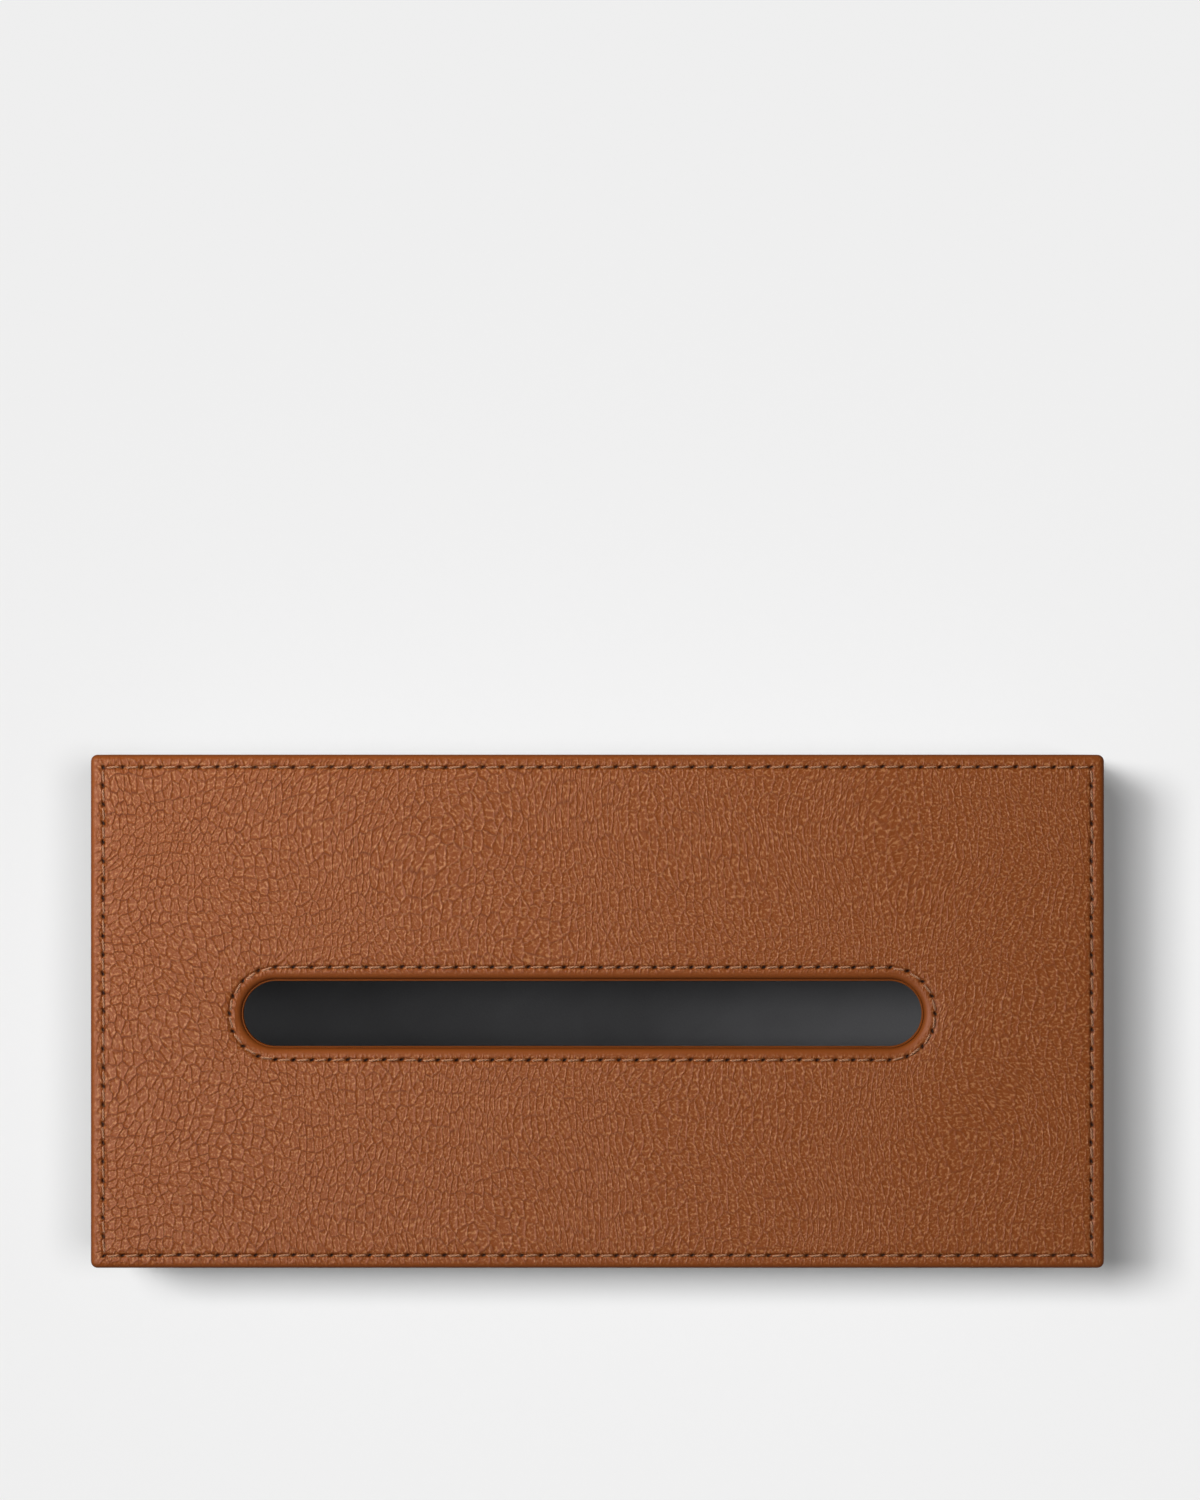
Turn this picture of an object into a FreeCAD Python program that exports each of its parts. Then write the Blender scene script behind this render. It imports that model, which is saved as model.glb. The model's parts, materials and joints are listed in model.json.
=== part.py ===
import FreeCAD, Part
import math
import os

# Tissue box cover in stitched leather.
# A shell of thin boards, wrapped in leather outside and lined inside, stands over a lined base panel.
# The shell lifts straight up off the base, so that a pack of tissues can be set down on it.
# Frame: millimetres, +Z up, origin under the middle of the base, X along the slot, -Y to the front.

# Overall size of the closed cover
LENGTH = 260.0
WIDTH = 131.7
HEIGHT = 90.0
FLOOR_GAP = 0.5

# Thickness of each sheet
LEATHER = 1.4
BOARD = 3.0
LINING = 0.6
HEM = 0.6

# Shell of boards
BOARD_CORNER = 0.3
REBATE = 1.5

# Leather wrap
EDGE_ROUND_SHARE = 0.9
SEAM_ROUND = 0.4
SEAM_GAP = 0.2
SEAM_FROM_CORNER = 14.0

# Slot that the tissues are drawn through, a little off the middle of the top
SLOT_LENGTH = 174.2
SLOT_WIDTH = 16.8
SLOT_SHIFT_X = -3.8
SLOT_SHIFT_Y = -0.6
FACING = 1.0
FACING_FLANGE = 6.0
FACING_SKIVED = 0.6

# Stitching on the top
EDGE_SEAM_INSET = 3.2
SLOT_SEAM_INSET = 3.5
STITCH_PITCH = 4.8
STITCH_GAP = 1.1
STITCH_TAPER = 1.0
STITCH_SLANT_DEGREES = 4.0
THREAD_WIDTH = 0.8
THREAD_HEIGHT = 0.65
CHANNEL_DEPTH = 0.5
CHANNEL_CLEARANCE = 0.15

# Base panel
BASE_BOARD = 3.0
BASE_CORNER = 1.0
BASE_CLEARANCE = 0.5
FELT = 1.5
FELT_INSET = 1.5

# Cleats at the two ends, with the magnets that hold the base
CLEAT_HEIGHT = 7.0
CLEAT_MARGIN = 1.2
MAGNET_DIAMETER = 4.0
MAGNET_THICKNESS = 3.0
MAGNET_SPACING = 80.0
MAGNET_RECESS = 0.2
KEEPER_DIAMETER = 5.0
KEEPER_THICKNESS = 1.0
KEEPER_MARGIN = 0.8
POCKET_CLEARANCE = 0.1

# How far every cutter runs past the face that it cuts
OVERRUN = 5.0

# Outlines, from the outside in
SHELL_LENGTH = LENGTH - 2 * LEATHER
SHELL_WIDTH = WIDTH - 2 * LEATHER
INNER_LENGTH = SHELL_LENGTH - 2 * BOARD
INNER_WIDTH = SHELL_WIDTH - 2 * BOARD
HEM_LENGTH = INNER_LENGTH - 2 * HEM
HEM_WIDTH = INNER_WIDTH - 2 * HEM
ROOM_WIDTH = INNER_WIDTH - 2 * LINING
BASE_LENGTH = HEM_LENGTH - 2 * BASE_CLEARANCE
BASE_WIDTH = HEM_WIDTH - 2 * BASE_CLEARANCE
BASE_BOARD_LENGTH = BASE_LENGTH - 2 * LINING
BASE_BOARD_WIDTH = BASE_WIDTH - 2 * LINING

# Magnets lie over the steel discs, and the discs just inside the base board's ends
MAGNET_X = BASE_BOARD_LENGTH / 2 - KEEPER_MARGIN - KEEPER_DIAMETER / 2
CLEAT_INNER_X = MAGNET_X - MAGNET_DIAMETER / 2 - CLEAT_MARGIN

# Levels, from the table up
BASE_BOARD_TOP = FELT + BASE_BOARD
BASE_TOP = BASE_BOARD_TOP + LINING
WALL_BOTTOM = FLOOR_GAP + LEATHER
CLEAT_TOP = BASE_TOP + CLEAT_HEIGHT
TOP_BOARD_TOP = HEIGHT - LEATHER
TOP_BOARD_BOTTOM = TOP_BOARD_TOP - BOARD
WALL_TOP = TOP_BOARD_BOTTOM + REBATE
CEILING = TOP_BOARD_BOTTOM - LINING

# Roundings that follow the leather
WRAP_CORNER = BOARD_CORNER + LEATHER
EDGE_ROUND = EDGE_ROUND_SHARE * LEATHER
FACED_SLOT_LENGTH = SLOT_LENGTH + 2 * FACING
FACED_SLOT_WIDTH = SLOT_WIDTH + 2 * FACING

UP = FreeCAD.Vector(0, 0, 1)
SLOT_CENTRE = FreeCAD.Vector(SLOT_SHIFT_X, SLOT_SHIFT_Y, 0)
LEVEL_TOLERANCE = 1e-6


def block(x_low, x_high, y_low, y_high, z_low, z_high):
    """A plain board between six planes."""
    corner = FreeCAD.Vector(x_low, y_low, z_low)
    return Part.makeBox(x_high - x_low, y_high - y_low, z_high - z_low, corner)


def plate(length, width, z_low, z_high):
    """A square-cornered plate, centred on the origin."""
    return block(-length / 2, length / 2, -width / 2, width / 2, z_low, z_high)


def upright_edges(shape):
    """The edges that run straight up."""
    return [edge for edge in shape.Edges if edge.BoundBox.ZLength > LEVEL_TOLERANCE]


def level_edges(shape, level):
    """The edges that lie flat at one level."""
    return [
        edge
        for edge in shape.Edges
        if abs(edge.BoundBox.ZMin - level) < LEVEL_TOLERANCE
        and abs(edge.BoundBox.ZMax - level) < LEVEL_TOLERANCE
    ]


def rounded_plate(length, width, radius, z_low, z_high):
    """A plate with its four corners rounded in plan."""
    square = plate(length, width, z_low, z_high)
    return square.makeFillet(radius, upright_edges(square))


def slot_plate(length, width, z_low, z_high):
    """A plate with half-round ends, in the place of the slot."""
    radius = width / 2
    reach = length / 2 - radius
    left = FreeCAD.Vector(-reach, 0, 0)
    right = FreeCAD.Vector(reach, 0, 0)
    across = FreeCAD.Vector(0, radius, 0)
    along = FreeCAD.Vector(radius, 0, 0)
    edges = [
        Part.LineSegment(left - across, right - across).toShape(),
        Part.Arc(right - across, right + along, right + across).toShape(),
        Part.LineSegment(right + across, left + across).toShape(),
        Part.Arc(left + across, left - along, left - across).toShape(),
    ]
    outline = Part.Face(Part.Wire(edges))
    outline.translate(SLOT_CENTRE + UP * z_low)
    return outline.extrude(UP * (z_high - z_low))


# Board shell


def long_board(side):
    """The front wall (side -1) or back wall (side 1), rebated at both ends for the short walls."""
    outer = side * SHELL_WIDTH / 2
    inner = side * INNER_WIDTH / 2
    wall = block(
        -SHELL_LENGTH / 2, SHELL_LENGTH / 2, min(outer, inner), max(outer, inner), WALL_BOTTOM, WALL_TOP
    )
    corners = [edge for edge in upright_edges(wall) if abs(edge.BoundBox.YMin - outer) < LEVEL_TOLERANCE]
    return wall.makeFillet(BOARD_CORNER, corners).cut(short_board(-1)).cut(short_board(1))


def short_board(end):
    """The left wall (end -1) or right wall (end 1), with its ends in the long walls' rebates."""
    outer = end * SHELL_LENGTH / 2
    inner = end * INNER_LENGTH / 2
    reach = INNER_WIDTH / 2 + REBATE
    return block(min(outer, inner), max(outer, inner), -reach, reach, WALL_BOTTOM, WALL_TOP)


def top_board():
    """The top, rebated all round so that it drops in between the walls, with a hole for the faced slot."""
    lid = rounded_plate(SHELL_LENGTH, SHELL_WIDTH, BOARD_CORNER, WALL_TOP, TOP_BOARD_TOP)
    plug = plate(INNER_LENGTH, INNER_WIDTH, TOP_BOARD_BOTTOM, WALL_TOP)
    hole = slot_plate(
        FACED_SLOT_LENGTH, FACED_SLOT_WIDTH, TOP_BOARD_BOTTOM - OVERRUN, TOP_BOARD_TOP + OVERRUN
    )
    return lid.fuse(plug).cut(hole).removeSplitter()


def cleat(end):
    """A strip across the foot of a short wall, drilled from below for two magnets."""
    wall = end * INNER_LENGTH / 2
    free = end * CLEAT_INNER_X
    strip = block(
        min(wall, free), max(wall, free), -ROOM_WIDTH / 2, ROOM_WIDTH / 2, BASE_TOP, CLEAT_TOP
    )
    depth = MAGNET_RECESS + MAGNET_THICKNESS
    radius = MAGNET_DIAMETER / 2 + POCKET_CLEARANCE
    for place in magnet_places([end]):
        strip = strip.cut(Part.makeCylinder(radius, depth, place + UP * BASE_TOP))
    return strip


def magnet_places(ends=(-1, 1)):
    """Where the magnets lie in plan, two at each of these ends."""
    half = MAGNET_SPACING / 2
    return [FreeCAD.Vector(end * MAGNET_X, side * half, 0) for end in ends for side in (-1, 1)]


def magnets():
    """The four disc magnets, just above the cleats' undersides."""
    level = BASE_TOP + MAGNET_RECESS
    return [
        Part.makeCylinder(MAGNET_DIAMETER / 2, MAGNET_THICKNESS, place + UP * level)
        for place in magnet_places()
    ]


# Leather


def top_leather():
    """The top panel, rolled over at its outer edge and at the slot, with a sunk channel under each seam."""
    panel = rounded_plate(LENGTH, WIDTH, WRAP_CORNER, TOP_BOARD_TOP, HEIGHT)
    panel = panel.makeFillet(EDGE_ROUND, level_edges(panel, HEIGHT))
    opening = slot_plate(SLOT_LENGTH, SLOT_WIDTH, TOP_BOARD_TOP - OVERRUN, HEIGHT + OVERRUN)
    panel = panel.cut(opening)
    reach_x = SLOT_LENGTH / 2 + LEVEL_TOLERANCE
    reach_y = SLOT_WIDTH / 2 + LEVEL_TOLERANCE
    rim = [
        edge
        for edge in level_edges(panel, HEIGHT)
        if abs(edge.CenterOfMass.x - SLOT_SHIFT_X) < reach_x
        and abs(edge.CenterOfMass.y - SLOT_SHIFT_Y) < reach_y
    ]
    panel = panel.makeFillet(EDGE_ROUND, rim)
    return panel.cut(edge_channel()).cut(slot_channel())


def slant_offset(length):
    """How far the slanted end of a stitch stands to one side of its seam."""
    return length / 2 * math.sin(math.radians(STITCH_SLANT_DEGREES))


def channel_width(bow):
    """The width that clears a seam's stitches, where bow is how far the seam curves away from a stitch."""
    return THREAD_WIDTH + 2 * (bow + slant_offset(STITCH_PITCH) + CHANNEL_CLEARANCE)


def edge_channel():
    """The channel under the seam that runs round the top's outer edge."""
    half = channel_width(0) / 2
    outer = EDGE_SEAM_INSET - half
    inner = EDGE_SEAM_INSET + half
    floor = HEIGHT - CHANNEL_DEPTH
    ring = plate(LENGTH - 2 * outer, WIDTH - 2 * outer, floor, HEIGHT + OVERRUN)
    return ring.cut(plate(LENGTH - 2 * inner, WIDTH - 2 * inner, floor - OVERRUN, HEIGHT + 2 * OVERRUN))


def slot_channel():
    """The channel under the seam that runs round the slot."""
    radius = SLOT_WIDTH / 2 + SLOT_SEAM_INSET
    bow = radius - math.sqrt(radius**2 - (STITCH_PITCH / 2) ** 2)
    half = channel_width(bow) / 2
    outer = 2 * (SLOT_SEAM_INSET + half)
    inner = 2 * (SLOT_SEAM_INSET - half)
    floor = HEIGHT - CHANNEL_DEPTH
    ring = slot_plate(SLOT_LENGTH + outer, SLOT_WIDTH + outer, floor, HEIGHT + OVERRUN)
    core = slot_plate(SLOT_LENGTH + inner, SLOT_WIDTH + inner, floor - OVERRUN, HEIGHT + 2 * OVERRUN)
    return ring.cut(core)


def side_leather():
    """One strip wrapped round the four walls, turned under their feet and up inside, butted on the back."""
    band = rounded_plate(LENGTH, WIDTH, WRAP_CORNER, FLOOR_GAP, TOP_BOARD_TOP)
    band = band.makeFillet(EDGE_ROUND, level_edges(band, FLOOR_GAP))
    band = band.makeFillet(SEAM_ROUND, level_edges(band, TOP_BOARD_TOP))
    band = band.cut(
        rounded_plate(SHELL_LENGTH, SHELL_WIDTH, BOARD_CORNER, WALL_BOTTOM, TOP_BOARD_TOP + OVERRUN)
    )
    opening = plate(HEM_LENGTH, HEM_WIDTH, FLOOR_GAP - OVERRUN, HEIGHT)
    hem = plate(INNER_LENGTH, INNER_WIDTH, WALL_BOTTOM, BASE_TOP)
    band = band.fuse(hem).cut(opening).removeSplitter()
    seam_x = SEAM_FROM_CORNER - LENGTH / 2
    seam = block(
        seam_x - SEAM_GAP / 2,
        seam_x + SEAM_GAP / 2,
        HEM_WIDTH / 2 - OVERRUN,
        WIDTH / 2 + OVERRUN,
        FLOOR_GAP - OVERRUN,
        HEIGHT,
    )
    return band.cut(seam)


def slot_facing():
    """The strip that covers the slot's wall and is turned out under the top lining."""
    wall = slot_plate(FACED_SLOT_LENGTH, FACED_SLOT_WIDTH, CEILING, TOP_BOARD_TOP)
    spread = 2 * FACING_FLANGE
    flange = slot_plate(
        FACED_SLOT_LENGTH + spread, FACED_SLOT_WIDTH + spread, CEILING - FACING_SKIVED, CEILING
    )
    opening = slot_plate(SLOT_LENGTH, SLOT_WIDTH, CEILING - OVERRUN, HEIGHT)
    return wall.fuse(flange).cut(opening).removeSplitter()


# Lining


def top_lining():
    """The lining under the top board, cut out round the faced slot."""
    sheet = plate(INNER_LENGTH, INNER_WIDTH, CEILING, TOP_BOARD_BOTTOM)
    hole = slot_plate(FACED_SLOT_LENGTH, FACED_SLOT_WIDTH, CEILING - OVERRUN, TOP_BOARD_TOP)
    return sheet.cut(hole)


def long_lining(side):
    """The lining of a front or back wall, from the hem up."""
    outer = side * INNER_WIDTH / 2
    inner = side * ROOM_WIDTH / 2
    reach = INNER_LENGTH / 2
    return block(-reach, reach, min(outer, inner), max(outer, inner), BASE_TOP, CEILING)


def short_lining(end):
    """The lining of a left or right wall, from the cleat up."""
    outer = end * INNER_LENGTH / 2
    inner = end * (INNER_LENGTH / 2 - LINING)
    reach = ROOM_WIDTH / 2
    return block(min(outer, inner), max(outer, inner), -reach, reach, CLEAT_TOP, CEILING)


# Stitching


def stitch(start, end):
    """One stitch between two points of a seam: a slanted bar of thread that dips into a hole at each end."""
    run = end - start
    foot = (run.Length - STITCH_GAP) / 2
    crown = foot - STITCH_TAPER
    profile = ((-foot, 0), (foot, 0), (crown, THREAD_HEIGHT), (-crown, THREAD_HEIGHT), (-foot, 0))
    outline = Part.makePolygon([FreeCAD.Vector(x, -THREAD_WIDTH / 2, z) for x, z in profile])
    bar = Part.Face(outline).extrude(FreeCAD.Vector(0, THREAD_WIDTH, 0))
    turn = math.degrees(math.atan2(run.y, run.x)) + STITCH_SLANT_DEGREES
    bar.rotate(FreeCAD.Vector(0, 0, 0), UP, turn)
    bar.translate((start + end) / 2 + UP * (HEIGHT - CHANNEL_DEPTH))
    return bar


def stitch_count(length):
    """How many stitches fill a seam of this length."""
    return max(1, round(length / STITCH_PITCH))


def edge_stitches():
    """The seam round the top's outer edge: a row of stitches along each side."""
    x = LENGTH / 2 - EDGE_SEAM_INSET
    y = WIDTH / 2 - EDGE_SEAM_INSET
    corners = [FreeCAD.Vector(*place) for place in ((-x, -y, 0), (x, -y, 0), (x, y, 0), (-x, y, 0))]
    stitches = []
    for start, end in zip(corners, corners[1:] + corners[:1]):
        count = stitch_count((end - start).Length)
        step = (end - start) / count
        stitches += [stitch(start + step * i, start + step * (i + 1)) for i in range(count)]
    return stitches


def slot_seam_point(distance):
    """The point that lies this far along the seam round the slot, from the left end of its front run."""
    radius = SLOT_WIDTH / 2 + SLOT_SEAM_INSET
    straight = SLOT_LENGTH - SLOT_WIDTH
    half_turn = math.pi * radius
    lap, rest = divmod(distance, straight + half_turn)
    if rest < straight:
        x, y = rest - straight / 2, -radius
    else:
        angle = (rest - straight) / radius
        x, y = straight / 2 + radius * math.sin(angle), -radius * math.cos(angle)
    facing = -1 if round(lap) % 2 else 1
    return SLOT_CENTRE + FreeCAD.Vector(facing * x, facing * y, 0)


def slot_stitches():
    """The seam round the slot, evenly stepped along its two runs and two half-round ends."""
    radius = SLOT_WIDTH / 2 + SLOT_SEAM_INSET
    lap = 2 * (SLOT_LENGTH - SLOT_WIDTH) + 2 * math.pi * radius
    count = stitch_count(lap)
    step = lap / count
    return [stitch(slot_seam_point(step * i), slot_seam_point(step * (i + 1))) for i in range(count)]


# Base panel


def base_board():
    """The base panel's board, with a pocket for each steel disc."""
    panel = rounded_plate(BASE_BOARD_LENGTH, BASE_BOARD_WIDTH, BASE_CORNER, FELT, BASE_BOARD_TOP)
    radius = KEEPER_DIAMETER / 2 + POCKET_CLEARANCE
    for place in magnet_places():
        floor = place + UP * (BASE_BOARD_TOP - KEEPER_THICKNESS)
        panel = panel.cut(Part.makeCylinder(radius, KEEPER_THICKNESS + OVERRUN, floor))
    return panel


def keeper_discs():
    """The four steel discs under the magnets, flush with the board."""
    floor = BASE_BOARD_TOP - KEEPER_THICKNESS
    return [
        Part.makeCylinder(KEEPER_DIAMETER / 2, KEEPER_THICKNESS, place + UP * floor)
        for place in magnet_places()
    ]


def base_lining():
    """The lining over the base board, turned down round its edge."""
    cap = rounded_plate(BASE_LENGTH, BASE_WIDTH, BASE_CORNER + LINING, FELT, BASE_TOP)
    board = rounded_plate(
        BASE_BOARD_LENGTH, BASE_BOARD_WIDTH, BASE_CORNER, FELT - OVERRUN, BASE_BOARD_TOP
    )
    return cap.cut(board)


def base_felt():
    """The felt sheet that the base stands on."""
    return rounded_plate(BASE_LENGTH - 2 * FELT_INSET, BASE_WIDTH - 2 * FELT_INSET, BASE_CORNER, 0, FELT)


def pieces():
    """Every piece of the cover and of its base, by name."""
    return {
        "top_board": [top_board()],
        "front_board": [long_board(-1)],
        "back_board": [long_board(1)],
        "left_board": [short_board(-1)],
        "right_board": [short_board(1)],
        "left_cleat": [cleat(-1)],
        "right_cleat": [cleat(1)],
        "magnets": magnets(),
        "top_leather": [top_leather()],
        "side_leather": [side_leather()],
        "slot_facing": [slot_facing()],
        "top_lining": [top_lining()],
        "front_lining": [long_lining(-1)],
        "back_lining": [long_lining(1)],
        "left_lining": [short_lining(-1)],
        "right_lining": [short_lining(1)],
        "edge_stitching": edge_stitches(),
        "slot_stitching": slot_stitches(),
        "base_board": [base_board()],
        "base_lining": [base_lining()],
        "base_felt": [base_felt()],
        "keeper_discs": keeper_discs(),
    }


def main():
    """Writes each piece to its own file."""
    os.makedirs("parts", exist_ok=True)
    for name, shapes in pieces().items():
        solids = [solid for shape in shapes for solid in shape.Solids]
        if not all(solid.isValid() for solid in solids):
            raise ValueError(f"{name} has a solid that isn't valid")
        whole = solids[0] if len(solids) == 1 else Part.makeCompound(solids)
        whole.exportStep(f"parts/{name}.step")
        print(f"{name}: {len(solids)} solids, {whole.Volume:.1f} mm3")


main()
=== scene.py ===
import json
import math

import bpy
import numpy as np
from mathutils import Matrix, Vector
from mathutils.kdtree import KDTree

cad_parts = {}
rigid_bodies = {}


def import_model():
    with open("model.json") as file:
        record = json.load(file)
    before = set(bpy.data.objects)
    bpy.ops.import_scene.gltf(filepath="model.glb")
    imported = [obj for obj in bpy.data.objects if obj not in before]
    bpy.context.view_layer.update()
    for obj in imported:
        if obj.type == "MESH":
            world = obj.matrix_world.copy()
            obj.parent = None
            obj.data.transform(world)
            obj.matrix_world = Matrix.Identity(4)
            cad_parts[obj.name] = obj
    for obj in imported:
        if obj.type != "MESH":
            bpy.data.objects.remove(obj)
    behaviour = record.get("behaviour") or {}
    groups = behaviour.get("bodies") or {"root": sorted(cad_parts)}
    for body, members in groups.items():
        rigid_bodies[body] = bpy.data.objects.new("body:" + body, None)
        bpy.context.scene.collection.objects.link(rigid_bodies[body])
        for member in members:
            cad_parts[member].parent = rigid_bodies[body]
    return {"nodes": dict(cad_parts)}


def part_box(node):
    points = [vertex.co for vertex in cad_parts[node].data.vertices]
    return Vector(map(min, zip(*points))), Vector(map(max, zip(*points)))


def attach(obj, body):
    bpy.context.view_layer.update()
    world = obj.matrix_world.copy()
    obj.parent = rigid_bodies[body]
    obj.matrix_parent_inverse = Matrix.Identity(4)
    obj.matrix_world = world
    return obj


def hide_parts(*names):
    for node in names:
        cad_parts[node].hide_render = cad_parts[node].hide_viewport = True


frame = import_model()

bl_info = {
    "name": "Stitched leather tissue box cover",
    "version": (1, 0, 0),
    "blender": (4, 5, 0),
    "location": "3D View > Sidebar > Tissue cover",
    "description": "Dresses the boards of a tissue box cover in leather, thread, lining and felt",
    "category": "Object",
}

MM = 0.001
QUARTER = math.pi / 2
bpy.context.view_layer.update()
WALLS = ["front_board", "back_board", "left_board", "right_board"]

# The sharpest corner that an outline has, and the width of the line that a flat face closes in
LEAST_RADIUS = 0.05 * MM
MIDDLE_LINE = 0.2 * MM


def linear(hex_colour):
    """A six-digit sRGB hex colour as linear red, green and blue, with a full alpha."""
    shares = [int(hex_colour[i : i + 2], 16) / 255 for i in (1, 3, 5)]
    return (*(s / 12.92 if s <= 0.04045 else ((s + 0.055) / 1.055) ** 2.4 for s in shares), 1.0)


def size(name, description, millimetres):
    """A length that a user can change, given here in millimetres."""
    return bpy.props.FloatProperty(
        name=name, description=description, default=millimetres * MM, min=0, unit="LENGTH", precision=5
    )


def angle(name, description, degrees):
    """An angle that a user can change, given here in degrees."""
    return bpy.props.FloatProperty(
        name=name, description=description, default=math.radians(degrees), subtype="ANGLE"
    )


def colour(name, description, hex_colour):
    """A colour that a user can change, given here as sRGB hex."""
    return bpy.props.FloatVectorProperty(
        name=name, description=description, default=linear(hex_colour), size=4, min=0, max=1, subtype="COLOR"
    )


# Sizes and colours


class CoverSizes(bpy.types.PropertyGroup):
    """Sizes of the leatherwork."""

    leather: size("Leather", "Thickness of the leather on the top and sides", 1.4)
    roll: size("Rolled edge", "How far the top's edges are rolled down", 1.26)
    edge_reach: size("Outer roll", "How far in from the outer edge the leather starts to roll over", 1.5)
    edge_tilt: angle("Edge tilt", "How far the leather falls away from the edge seam outwards", 7.0)
    slot_reach: size("Slot roll", "How far out from the slot's edge the leather starts to roll over", 2.8)
    corner: size("Corner", "Radius of the wrap's upright corners", 1.7)
    facing_reach: size("Facing", "From the slot's wall out to the edge of the facing's flange", 7.0)
    slot_ledge: size("Slot ledge", "How far the facing stands in past the top leather's rolled edge", 0.5)
    edge_seam: size("Edge seam", "From the top's edge in to the seam along it", 3.2)
    slot_seam: size("Slot seam", "From the slot's edge out to the seam round it", 3.5)
    edge_pitch: size("Edge stitch", "From hole to hole along the edge seam", 4.85)
    slot_pitch: size("Slot stitch", "From hole to hole round the slot", 4.65)
    stitch_slant: angle("Stitch slant", "How far a stitch turns out of its seam's line", 5.0)
    hole_length: size("Needle hole", "Length of the slanted hole between two stitches", 1.35)
    hole_width: size("Needle hole width", "Width of the slanted hole between two stitches", 0.75)
    hole_slant: angle("Hole slant", "How far a needle hole turns out of its seam's line", 25.0)
    groove: size("Seam groove", "How far a seam is drawn into the leather", 0.32)
    thread: size("Thread", "Diameter of the sewing thread", 0.54)
    ply_step: size("Ply step", "From ply to ply along the thread", 0.78)
    pebble_width: size("Pebble width", "Width of the pebbles at the left end, along the slot", 2.1)
    pebble_length: size("Pebble length", "Length of the pebbles at the left end, across the slot", 3.0)
    drawn_width: size("Drawn pebble width", "Width of the pebbles at the right end, along the slot", 2.0)
    drawn_length: size("Drawn pebble", "Length of the pebbles at the right end, across the slot", 4.6)
    ridge_length: size("Ridge length", "Length of the ridges that the pebbles lie in", 20.0)
    grain_depth: size("Grain depth", "Depth of the furrows and creases", 0.28)


class CoverColours(bpy.types.PropertyGroup):
    """Colours of the cover's materials."""

    leather: colour("Leather", "Tan of the pebbles", "#8F4818")
    # The crease colour stands for settled pigment and for painted shade in the creases
    crease_pigment_and_shade: colour("Crease", "Creases between the pebbles", "#5A2206")
    # The ridge colour stands for thin pigment and for painted glints on the hair grain
    ridge: colour("Ridge", "Raised grain where the pigment is rubbed thin", "#BC7A4A")
    burnish: colour("Rolled edge", "Stretched and burnished leather at the rolled edges", "#83410E")
    # The needle hole colour is painted shade, in the holes and along the rims and seams
    hole: colour("Needle hole", "Inside of the needle holes", "#1E0A05")
    # The thread colour is painted as the highlight on each ply's crown, and the thread shade as painted shade
    # between the plies
    thread: colour("Thread", "Sewing thread", "#E0A680")
    thread_shade: colour("Thread shade", "Sewing thread between its plies", "#6A3A1E")
    lining: colour("Lining", "Microsuede inside the cover and on the base panel", "#6C6C6E")
    felt: colour("Felt", "Felt under the base", "#35322F")
    board: colour("Fibreboard", "Pressed boards of the shell and base", "#8E6E50")
    nickel: colour("Nickel", "Plating of the magnets", "#CFC8BC")
    zinc: colour("Zinc", "Plating of the steel discs", "#B4B7BC")
    floor: colour("Floor", "Pale table that the cover stands on", "#F1F1F1")


# Meshes


def outline(length, width, radius, count):
    """Points round a rounded rectangle, evenly spaced in each quarter.
    They start at the middle of its front and go to the right."""
    run, bend = length / 2 - radius, QUARTER * radius
    quarter_length = run + bend + width / 2 - radius

    def quarter(distance):
        turn = np.clip((distance - run) / radius, 0, QUARTER)
        x = np.minimum(distance, run) + radius * np.sin(turn)
        y = -width / 2 + radius * (1 - np.cos(turn)) + np.maximum(distance - run - bend, 0)
        return np.stack([x, y], axis=1)

    distance = np.arange(count // 4) / (count // 4) * quarter_length
    half = np.concatenate([quarter(distance), quarter(quarter_length - distance) * (1, -1)])
    return np.concatenate([half, -half])


def ring(points, height):
    """A ring of points in plan, at one height."""
    return np.column_stack([points, np.broadcast_to(height, len(points))])


def rings_inside(length, width, corner, profile, columns):
    """Rings inside a rounded rectangle, one for each inset and height of a profile."""
    rings = []
    for inset, height in profile:
        radius = max(corner - inset, LEAST_RADIUS)
        rings.append(ring(outline(length - 2 * inset, width - 2 * inset, radius, columns), height))
    return rings


def rings_round_slot(slot, profile, columns):
    """Rings round a slot, one for each outset and height of a profile."""
    middle, length, width = slot
    rings = []
    for outset, height in profile:
        points = outline(length + 2 * outset, width + 2 * outset, width / 2 + outset, columns)
        rings.append(ring(middle + points, height))
    return rings


def rounding(radius, height, side, count=6):
    """Insets and heights of a profile round a softened edge, from the wall in to the face at this height.
    The face is on top for a side of 1 and underneath for a side of -1."""
    turn = np.linspace(0, QUARTER, count)
    return [(radius * (1 - math.cos(t)), height - side * radius * (1 - math.sin(t))) for t in turn]


def quads(rings, columns, close_rings, close_columns):
    """Faces between neighbouring rings of as many points, first to last, and closed up where asked."""
    r = np.arange(rings if close_rings else rings - 1)[:, None]
    c = np.arange(columns if close_columns else columns - 1)[None, :]
    r_next, c_next = (r + 1) % rings, (c + 1) % columns
    corners = [r * columns + c, r * columns + c_next, r_next * columns + c_next, r_next * columns + c]
    return np.stack(np.broadcast_arrays(*corners), axis=-1).reshape(-1, 4)


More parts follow.
